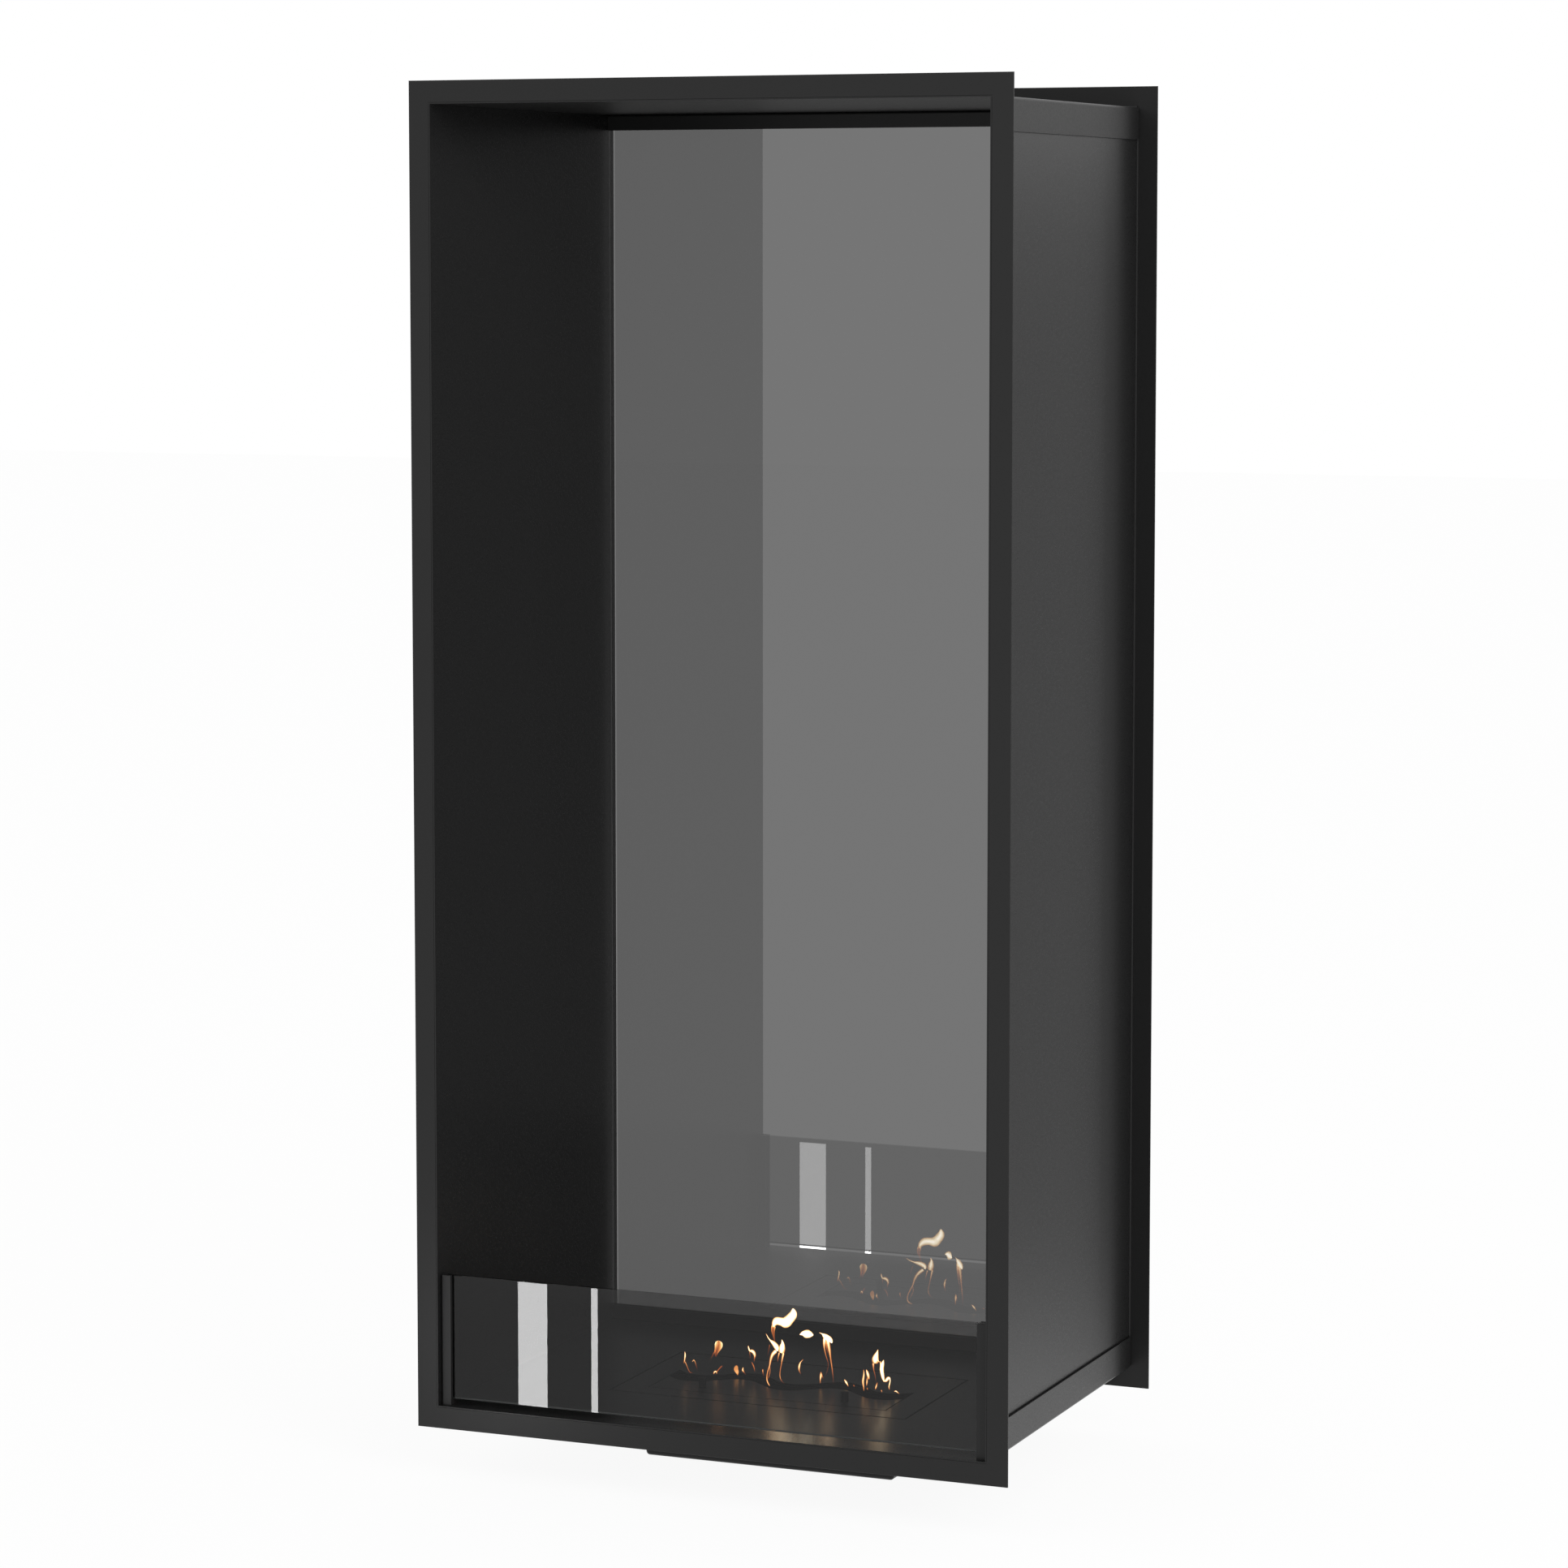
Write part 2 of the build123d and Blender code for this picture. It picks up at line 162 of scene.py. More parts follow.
# ---------------------------------------------------------------- finishes
@dataclass(frozen=True)
class Finish:
    """A surface finish: what every material of the fireplace has."""

    name: str

    def shade(self, tree: bpy.types.NodeTree) -> bpy.types.NodeSocket:
        """Adds the finish's nodes and returns the shader socket; each finish has its own."""
        raise NotImplementedError

    def material(self) -> bpy.types.Material:
        """Makes the material.

        Returns:
            The material, with its output linked.
        """
        material = new_material(self.name)
        tree = material.node_tree
        add_node(tree, "OutputMaterial", links={"Surface": self.shade(tree)})
        return material


@dataclass(frozen=True)
class Coat(Finish):
    """A sprayed and baked coat on sheet steel.

    The grit is the pitch of the coat's texture. It is drawn coarser than the real 0.3 mm, because that
    is too fine to show, and gives the eye the broken, slightly sparkling gloss of a textured coat.
    """

    colour: str
    roughness: float
    gloss: float
    grit_mm: float
    relief_mm: float
    rough_spread: tuple[float, float] = (0.88, 1.12)

    def shade(self, tree: bpy.types.NodeTree) -> bpy.types.NodeSocket:
        """Adds a dark plastic-like coat with a fine bump and a fine change of roughness.

        Args:
            tree: the material's node tree.

        Returns:
            The shader socket.
        """
        smoothest, roughest = self.rough_spread
        place = add_node(tree, "TexCoord").outputs["Object"]
        grit = add_node(
            tree,
            "TexNoise",
            {"Scale": 1 / (self.grit_mm * MM), "Detail": 2.0, "Roughness": 0.6},
            {"Vector": place},
        ).outputs["Fac"]
        spread = add_node(
            tree,
            "MapRange",
            {
                "From Min": NOISE_LOW,
                "From Max": NOISE_HIGH,
                "To Min": smoothest * self.roughness,
                "To Max": roughest * self.roughness,
            },
            {"Value": grit},
        ).outputs["Result"]
        bump = add_node(
            tree, "Bump", {"Strength": 1.0, "Distance": self.relief_mm * MM}, {"Height": grit}
        ).outputs["Normal"]
        return add_node(
            tree,
            "BsdfPrincipled",
            {"Base Color": linear(self.colour), "Specular IOR Level": self.gloss},
            {"Roughness": spread, "Normal": bump},
        ).outputs["BSDF"]


@dataclass(frozen=True)
class SeamShadeCoat(Coat):
    """A coat whose upright cut edges round the burner are painted near black: painted shade, which draws
    the seams there as dark gaps.

    The zone is the part of the floor in which faces off the level get the painted shade: it leaves out
    the panel's folds.
    """

    shade_colour: str = "#070707"
    shade_gloss: float = 0.06
    level: float = 0.95
    zone_middle_mm: float = 205.0
    zone_half_width_mm: float = 250.0
    zone_half_depth_mm: float = 180.0

    def shade(self, tree: bpy.types.NodeTree) -> bpy.types.NodeSocket:
        """Adds the coat and paints it near black, as painted shade, where it is off the level and in the
        zone.

        Args:
            tree: the material's node tree.

        Returns:
            The shader socket.
        """
        coat = super().shade(tree)
        place = add_node(tree, "TexCoord").outputs["Object"]
        axes = add_node(tree, "SeparateXYZ", links={"Vector": place}).outputs
        facing = add_node(tree, "NewGeometry").outputs["True Normal"]
        rise = add_node(tree, "SeparateXYZ", links={"Vector": facing}).outputs["Z"]
        # Painted shade: faces off the level inside the zone take the near-black shade colour and lose
        # most of their gloss.
        painted_shade = add_node(
            tree, "Math", {1: 0.0, 2: self.level}, {0: rise}, operation="COMPARE"
        ).outputs[0]
        for axis, middle, half in (
            ("X", 0.0, self.zone_half_width_mm),
            ("Y", self.zone_middle_mm, self.zone_half_depth_mm),
        ):
            inside = add_node(
                tree, "Math", {1: middle * MM, 2: half * MM}, {0: axes[axis]}, operation="COMPARE"
            ).outputs[0]
            painted_shade = add_node(
                tree, "Math", links={0: painted_shade, 1: inside}, operation="MULTIPLY"
            ).outputs[0]
        colour = add_node(
            tree,
            "Mix",
            {6: linear(self.colour), 7: linear(self.shade_colour)},
            {"Factor": painted_shade},
            data_type="RGBA",
        ).outputs[2]
        gloss = add_node(
            tree, "MapRange", {"To Min": self.gloss, "To Max": self.shade_gloss}, {"Value": painted_shade}
        ).outputs["Result"]
        tree.links.new(colour, coat.node.inputs["Base Color"])
        tree.links.new(gloss, coat.node.inputs["Specular IOR Level"])
        return coat


@dataclass(frozen=True)
class Pane(Finish):
    """Float glass tinted in the mass: it darkens what is behind it and mirrors what is in front of it.

    Light pays for the tint once, where it goes in, and comes out of the far face freely. Beside the
    pane's upright edges the glass is drawn clearer, a painted highlight for the shorter way light takes
    through the glass there, which draws a thin bright line. Its lowest edge is left as ground, pale and
    matt.
    """

    tint: float
    mirror: float
    half_width_mm: float
    ground_below_mm: float
    edge_mm: float = 2.0
    edge_highlight_share: float = 0.84
    ground_colour: str = "#4A4D4C"

    def shade(self, tree: bpy.types.NodeTree) -> bpy.types.NodeSocket:
        """Adds a clear gloss over a share of darkness.

        Args:
            tree: the material's node tree.

        Returns:
            The shader socket.
        """
        leaving = add_node(tree, "NewGeometry").outputs["Backfacing"]
        tint = add_node(
            tree, "MapRange", {"To Min": self.tint, "To Max": 0.0}, {"Value": leaving}
        ).outputs["Result"]
        place = add_node(tree, "TexCoord").outputs["Object"]
        axes = add_node(tree, "SeparateXYZ", links={"Vector": place}).outputs
        ground = add_node(
            tree, "Math", {1: self.ground_below_mm * MM}, {0: axes["Z"]}, operation="LESS_THAN"
        ).outputs[0]
        colour = add_node(
            tree,
            "Mix",
            {6: linear("#000000"), 7: linear(self.ground_colour)},
            {"Factor": ground},
            data_type="RGBA",
        ).outputs[2]
        out = add_node(tree, "Math", links={0: axes["X"]}, operation="ABSOLUTE").outputs[0]
        # Painted highlight: within edge_mm of the upright edges the glass is drawn clearer, to make a
        # bright line.
        share = add_node(
            tree,
            "MapRange",
            {
                "From Min": (self.half_width_mm - self.edge_mm) * MM,
                "From Max": self.half_width_mm * MM,
                "To Min": 1.0,
                "To Max": self.edge_highlight_share,
            },
            {"Value": out},
        ).outputs["Result"]
        clear = add_node(tree, "Math", links={0: tint, 1: share}, operation="MULTIPLY").outputs[0]
        cover = add_node(tree, "Math", links={0: clear, 1: ground}, operation="MAXIMUM").outputs[0]
        return add_node(
            tree,
            "BsdfPrincipled",
            {"Roughness": 0.0, "Specular IOR Level": self.mirror},
            {"Base Color": colour, "Alpha": cover},
        ).outputs["BSDF"]


@dataclass(frozen=True)
class Steel(Finish):
    """Stainless steel as it comes off the roll: grey, half bright, with a soft drawn grain."""

    colour: str
    roughness: float
    grain_mm: float
    drawn_out: float = 0.05
    rough_spread: float = 0.08

    def shade(self, tree: bpy.types.NodeTree) -> bpy.types.NodeSocket:
        """Adds a metal whose roughness changes along a fine grain.

        Args:
            tree: the material's node tree.

        Returns:
            The shader socket.
        """
        place = add_node(tree, "TexCoord").outputs["Object"]
        drawn = add_node(
            tree, "Mapping", {"Scale": (self.drawn_out, 1.0, 1.0)}, {"Vector": place}
        ).outputs["Vector"]
        grain = add_node(
            tree, "TexNoise", {"Scale": 1 / (self.grain_mm * MM), "Detail": 3.0}, {"Vector": drawn}
        ).outputs["Fac"]
        spread = add_node(
            tree,
            "MapRange",
            {
                "To Min": self.roughness - self.rough_spread,
                "To Max": self.roughness + self.rough_spread,
            },
            {"Value": grain},
        ).outputs["Result"]
        return add_node(
            tree,
            "BsdfPrincipled",
            {"Base Color": linear(self.colour), "Metallic": 1.0},
            {"Roughness": spread},
        ).outputs["BSDF"]


@dataclass(frozen=True)
class WovenTape(Finish):
    """Black glass-fibre tape: a plain weave, dull, with paler thread crowns."""

    warp: str
    weft: str
    thread_mm: float
    roughness: float = 0.85

    def shade(self, tree: bpy.types.NodeTree) -> bpy.types.NodeSocket:
        """Adds a checked weave with a thread-high bump.

        Args:
            tree: the material's node tree.

        Returns:
            The shader socket.
        """
        place = add_node(tree, "TexCoord").outputs["Object"]
        weave = add_node(
            tree,
            "TexChecker",
            {
                "Color1": linear(self.warp),
                "Color2": linear(self.weft),
                "Scale": 1 / (self.thread_mm * MM),
            },
            {"Vector": place},
        )
        bump = add_node(
            tree, "Bump", {"Distance": self.thread_mm / 4 * MM}, {"Height": weave.outputs["Fac"]}
        ).outputs["Normal"]
        return add_node(
            tree,
            "BsdfPrincipled",
            {"Roughness": self.roughness},
            {"Base Color": weave.outputs["Color"], "Normal": bump},
        ).outputs["BSDF"]


@dataclass(frozen=True)
class Soft(Finish):
    """Silicone rubber or pressed ceramic fibre: dull, with a mottled surface of its own pitch."""

    light: str
    dark: str
    roughness: float
    mottle_mm: float
    relief_mm: float

    def shade(self, tree: bpy.types.NodeTree) -> bpy.types.NodeSocket:
        """Adds a mottled, matt surface.

        Args:
            tree: the material's node tree.

        Returns:
            The shader socket.
        """
        place = add_node(tree, "TexCoord").outputs["Object"]
        mottle = add_node(
            tree,
            "TexNoise",
            {"Scale": 1 / (self.mottle_mm * MM), "Detail": 6.0, "Roughness": 0.65},
            {"Vector": place},
        ).outputs["Fac"]
        colour = add_node(
            tree,
            "Mix",
            {6: linear(self.dark), 7: linear(self.light)},
            {"Factor": mottle},
            data_type="RGBA",
        ).outputs[2]
        bump = add_node(
            tree, "Bump", {"Distance": self.relief_mm * MM}, {"Height": mottle}
        ).outputs["Normal"]
        return add_node(
            tree,
            "BsdfPrincipled",
            {"Roughness": self.roughness},
            {"Base Color": colour, "Normal": bump},
        ).outputs["BSDF"]


@dataclass(frozen=True)
class Flame(Finish):
    """Burning ethanol: white-hot bodies, yellow strands with orange rims and faint red wisps.

    The piece's own UV map gives the place: U is the heat, and V how much cooler the gas is there.
    Cooler gas is fainter, by the power that fading gives.
    """

    strength: float
    cooling: float = -0.66
    fading: float = 1.6
    glow: tuple[tuple[float, str], ...] = (
        (0.0, "#C44A1A"),
        (0.2, "#CC642A"),
        (0.36, "#DA9250"),
        (0.52, "#EAC690"),
        (0.75, "#FAEAC8"),
    )
    hottest: str = "#FFF6E8"

    def shade(self, tree: bpy.types.NodeTree) -> bpy.types.NodeSocket:
        """Adds glowing gas: cool gas is faint and clear, hot gas white and solid.

        Args:
            tree: the material's node tree.

        Returns:
            The shader socket.
        """
        uv = add_node(tree, "UVMap", uv_map=FLAME_MAP).outputs["UV"]
        axes = add_node(tree, "SeparateXYZ", links={"Vector": uv}).outputs
        warmth = add_node(
            tree, "Math", {1: self.cooling, 2: 1.0}, {0: axes["Y"]}, operation="MULTIPLY_ADD"
        ).outputs[0]
        heat = add_node(tree, "Math", links={0: axes["X"], 1: warmth}, operation="MULTIPLY").outputs[0]
        cover = add_node(
            tree, "Math", {1: self.fading}, {0: heat}, operation="POWER", use_clamp=True
        ).outputs[0]
        ramp = add_node(tree, "ValToRGB", links={"Fac": heat})
        for place, hex_code in self.glow:
            stop = ramp.color_ramp.elements.new(place)
            stop.color = linear(hex_code)
        ramp.color_ramp.elements.remove(ramp.color_ramp.elements[0])
        ramp.color_ramp.elements[-1].color = linear(self.hottest)
        return add_node(
            tree,
            "BsdfPrincipled",
            {
                "Base Color": linear("#000000"),
                "Specular IOR Level": 0.0,
                "Emission Strength": self.strength,
            },
            {"Emission Color": ramp.outputs["Color"], "Alpha": cover},
        ).outputs["BSDF"]


RUBBED_COAT = Coat("rubbed_powder_coat", "#1C1C1C", 0.3, 0.25, 1.6, 0.003)
FINISHES: dict[Slot, Finish] = {
    Slot.CASE: Coat("textured_powder_coat", "#1C1C1C", 0.38, 0.24, 1.6, 0.05),
    Slot.RAIL: Coat("satin_black_stove_enamel", "#171717", 0.4, 0.25, 1.2, 0.01),
    # The burner's coat is painted near black on its upright faces round the slot: painted shade that
    # draws the seams.
    Slot.BURNER: SeamShadeCoat("satin_black_heat_paint", "#1B1B1B", 0.3, 0.24, 1.2, 0.02),
    Slot.KNOB: Coat("matt_black_knob_paint", "#0B0B0B", 0.5, 0.12, 1.0, 0.005),
    Slot.REAR_GLASS: Pane("dark_tinted_float_glass", 0.892, 0.98, 273.6, 0.0),
    Slot.LOW_GLASS: Pane("grey_tinted_float_glass", 0.68, 0.45, 274.2, 7.9),
    Slot.TAPE: WovenTape("black_woven_glass_tape", "#1E1E1E", "#0E0E0E", 0.8),
    Slot.PAD: Soft("black_silicone_rubber", "#1C1C1C", "#121212", 0.7, 1.5, 0.02),
    Slot.RIVET: Steel("stainless_rivet_steel", "#A9A9A6", 0.35, 0.6),
    Slot.TANK: Coat("satin_black_tank_paint", "#1C1C1C", 0.4, 0.24, 1.4, 0.02),
    Slot.SCREEN: Steel("heat_blackened_screen_steel", "#2E2A27", 0.6, 0.8),
    Slot.FASTENER: Steel("bright_zinc_fastener_steel", "#B4B4B0", 0.3, 0.5),
    Slot.FIBRE: Soft("pressed_ceramic_fibre", "#E4E0D6", "#BDB8AC", 0.95, 2.5, 0.4),
}

# The deck, which only shows in the flame slot and in the seams round the lid, is painted near black, a
# painted shade for the slot and the seams, and so is the wall of the floor's cut-out. The bottom panel
# and both side panels are rubbed smoother than the rest of the case.
SHADED_AND_WORN_NODES: dict[str, Finish] = {
    # Painted shade: the deck is near black so that the slot and the seams round the lid read dark.
    "burner_deck": Coat("shade_dark_deck_paint", "#070707", 0.6, 0.06, 1.5, 0.02),
    # The bottom panel gets painted shade on the upright wall of its cut-out.
    "bottom_panel": SeamShadeCoat("floor_powder_coat", "#1C1C1C", 0.3, 0.25, 1.6, 0.003),
    "left_side_panel": RUBBED_COAT,
    "right_side_panel": RUBBED_COAT,
}


@dataclass
class Palette:
    """The materials, each made once."""

    materials: dict[Slot, bpy.types.Material] = field(default_factory=dict)

    def __getitem__(self, slot: Slot) -> bpy.types.Material:
        """Gives the material of a slot, made when first asked for."""
        if slot not in self.materials:
            self.materials[slot] = FINISHES[slot].material()
        return self.materials[slot]

    def dress(self, nodes: dict[str, bpy.types.Object]) -> None:
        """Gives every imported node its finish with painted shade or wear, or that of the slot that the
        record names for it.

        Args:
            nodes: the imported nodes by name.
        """
        shaded_or_worn = {name: finish.material() for name, finish in SHADED_AND_WORN_NODES.items()}
        for name, node in nodes.items():
            for place in node.material_slots:
                place.material = shaded_or_worn.get(name) or self[Slot(place.material.name)]


# ---------------------------------------------------------------- modelling helpers
@contextmanager
def editing(piece: bpy.types.Object) -> Iterator[None]:
    """Puts a piece in edit mode for the block's operators.

    Args:
        piece: the mesh object to edit.
    """
    bpy.ops.object.select_all(action="DESELECT")
    piece.select_set(True)
    bpy.context.view_layer.objects.active = piece
    bpy.ops.object.mode_set(mode="EDIT")
    yield
    bpy.ops.object.mode_set(mode="OBJECT")


def start_piece(
    name: str, add: Callable[..., object], scale: Sequence[float] = (1, 1, 1), **options: object
) -> bpy.types.Object:
    """Adds a primitive and moves its place and size into its mesh.

    Args:
        name: the piece's name.
        add: the primitive's operator.
        scale: how much larger than the primitive the piece is, along the primitive's own axes.
        **options: the operator's options.

    Returns:
        The new object, at the origin.
    """
    bpy.ops.object.select_all(action="DESELECT")
    add(**options)
    piece = bpy.context.object
    piece.scale = scale
    piece.name = name
    piece.data.name = name
    bpy.ops.object.transform_apply(location=True, rotation=True, scale=True)
    return piece


def start_box(name: str, low: Sequence[float], high: Sequence[float]) -> bpy.types.Object:
    """Adds a cube between two corners.

    Args:
        name: the piece's name.
        low: the lowest corner.
        high: the highest corner.

    Returns:
        The new object.
    """
    middle = [(a + b) / 2 for a, b in zip(low, high)]
    sides = [b - a for a, b in zip(low, high)]
    return start_piece(name, bpy.ops.mesh.primitive_cube_add, size=1, location=middle, scale=sides)


def pick_edges(piece: bpy.types.Object, wanted: Callable[[Vector, Vector], bool]) -> None:
    """Selects edges by their place; used in edit mode's edge select.

    Args:
        piece: the mesh object, in object mode.
        wanted: says whether the edge between two points is selected.
    """
    points = piece.data.vertices
    for edge in piece.data.edges:
        start, end = (points[index].co for index in edge.vertices)
        edge.select = wanted(start, end)
    for point in points:
        point.select = any(point.index in edge.vertices and edge.select for edge in piece.data.edges)
    for face in piece.data.polygons:
        face.select = False


def finish_piece(piece: bpy.types.Object, material: bpy.types.Material, angle: float) -> None:
    """Closes a piece's mesh, turns its faces outwards, smooths it and gives it its material.

    Args:
        piece: the mesh object.
        material: its material.
        angle: edges sharper than this many degrees stay sharp.
    """
    with editing(piece):
        bpy.ops.mesh.select_all(action="SELECT")
        bpy.ops.mesh.remove_doubles(threshold=MM / 1000)
        bpy.ops.mesh.normals_make_consistent(inside=False)
    bpy.ops.object.shade_smooth_by_angle(angle=math.radians(angle))
    piece.data.materials.clear()
    piece.data.materials.append(material)


def apply_modifier(piece: bpy.types.Object, kind: str, **settings: object) -> None:
    """Adds a modifier and applies it.

    Args:
        piece: the mesh object.
        kind: the modifier's type.
        **settings: the modifier's options.
    """
    bpy.context.view_layer.objects.active = piece
    modifier = piece.modifiers.new(kind.lower(), kind)
    for option, value in settings.items():
        setattr(modifier, option, value)
    bpy.ops.object.modifier_apply(modifier=modifier.name)


# ---------------------------------------------------------------- case
@dataclass
class Case:
    """The welded sheet-steel case: its weld fillets against the two trim frames."""

    palette: Palette
    leg: float = 1.8 * MM
    clear: float = 0.02 * MM
    cut_share: float = 0.9
    cut_profile: float = 0.55
    near_edge: float = 0.01 * MM

    def weld(self, name: str, low: Sequence[float], high: Sequence[float], outer: Place) -> None:
        """Models one fillet weld: a bar whose outer long edge is taken off.

        Args:
            name: the piece's name.
            low: the bar's lowest corner.
            high: the bar's highest corner.
            outer: a point on the bar's outer long edge.
        """
        bead = start_box(name, low, high)
        sides = [b - a for a, b in zip(low, high)]
        run = sides.index(max(sides))
        across = [axis for axis in range(3) if axis != run]

        def on_outer_edge(start: Vector, end: Vector) -> bool:
            offsets = [abs(point[axis] - outer[axis]) for point in (start, end) for axis in across]
            return max(offsets) < self.near_edge

        pick_edges(bead, on_outer_edge)
        with editing(bead):
            bpy.ops.mesh.bevel(
                offset=self.cut_share * self.leg, segments=4, profile=self.cut_profile, affect="EDGES"
            )
        finish_piece(bead, self.palette[Slot.CASE], 25)
        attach(bead, Body.FIREBOX.value)

    def build(self) -> int:
        """Models the welds up both sides and across the top, at the front and at the rear.

        Returns:
            How many welds there are.
        """
        side_low, side_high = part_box("right_side_panel")
        top_low, top_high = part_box("top_panel")
        front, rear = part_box("front_trim_frame")[1].y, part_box("rear_trim_frame")[0].y
        half, roof = side_high.x, top_high.z
        count = 0
        for end, wall, way in (("front", front, 1), ("rear", rear, -1)):
            near, far = sorted((wall + way * self.clear, wall + way * self.leg))
            outer_y = wall + way * self.leg
            for side, turn in (("right", 1), ("left", -1)):
                inner, outer = turn * (half + self.clear), turn * (half + self.leg)
                low = (min(inner, outer), near, side_low.z)
                high = (max(inner, outer), far, roof)
                self.weld(f"{end}_{side}_weld", low, high, (outer, outer_y, 0))
                count += 1
            low, high = (-half, near, roof + self.clear), (half, far, roof + self.leg)
            self.weld(f"{end}_top_weld", low, high, (0, outer_y, roof + self.leg))
            count += 1
        return count


# ---------------------------------------------------------------- burner
@dataclass
class Burner:
    """The burner's soft filling."""

    palette: Palette
    corner: float = 2.8 * MM
    clear: float = 0.1 * MM
    cell: float = 9 * MM
    pile: float = 0.8 * MM

    def build(self) -> int:
        """Models the ceramic-fibre block that fills the tank, with its uneven cut faces.

        Returns:
            How many pieces there are.
        """
        low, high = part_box("fuel_absorber")
        inset = Vector((self.clear, self.clear, self.clear)) + Vector((1, 1, 1)) * self.pile / 2
        block = start_box("fibre_block", low + inset, high - inset)
        apply_modifier(block, "BEVEL", width=self.corner, segments=2)
        with editing(block):
            bpy.ops.mesh.select_all(action="SELECT")
            bpy.ops.mesh.subdivide(number_cuts=max(1, round((high.y - low.y) / self.cell)))
        clouds = bpy.data.textures.new("fibre_lumps", "CLOUDS")
        clouds.noise_scale = self.cell
        apply_modifier(block, "DISPLACE", texture=clouds, strength=self.pile, texture_coords="LOCAL")
        finish_piece(block, self.palette[Slot.FIBRE], 60)
        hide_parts("fuel_absorber")
        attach(block, Body.BURNER.value)
        return 1


# ---------------------------------------------------------------- flames
Station = tuple[float, float, float, float]


@dataclass(frozen=True)
class Tongue:
    """One tongue, strand or spark of flame.

    Attributes:
        stations: from root to tip, each as (along the slot, above the burner plate, width, heat), in
            mm; a heat of 0.1 is a faint red wisp, 0.5 orange, 1 pale yellow and 1.5 white.
        hollow: 0 for a tongue that is hottest in its middle, 1 for one that is hottest at its rim.
    """

    stations: tuple[Station, ...]
    hollow: float = 0.0

    def spine(self, steps: int) -> list[Station]:
        """Rounds the stations off with a curve through them.

        Args:
            steps: how many stations the curve gets between each two.

        Returns:
            Stations along the curve.
        """
        ends = [self.stations[0], *self.stations, self.stations[-1]]
        curve = [
            self.between(ends[span : span + 4], step / steps)
            for span in range(len(self.stations) - 1)
            for step in range(steps)
        ]
        return [*curve, self.stations[-1]]

    @staticmethod
    def between(four: Sequence[Station], t: float) -> Station:
        """Gives the station on the curve between the middle two of four stations.

        Args:
            four: stations in order.
            t: the place, from 0 at the second station to 1 at the third.

        Returns:
            The station there.
        """
        found = []
        for a, b, c, d in zip(*four):
            bend = (2 * a - 5 * b + 4 * c - d) * t**2
            twist = (3 * b - a - 3 * c + d) * t**3
            found.append(0.5 * (2 * b + (c - a) * t + bend + twist))
        return tuple(found)


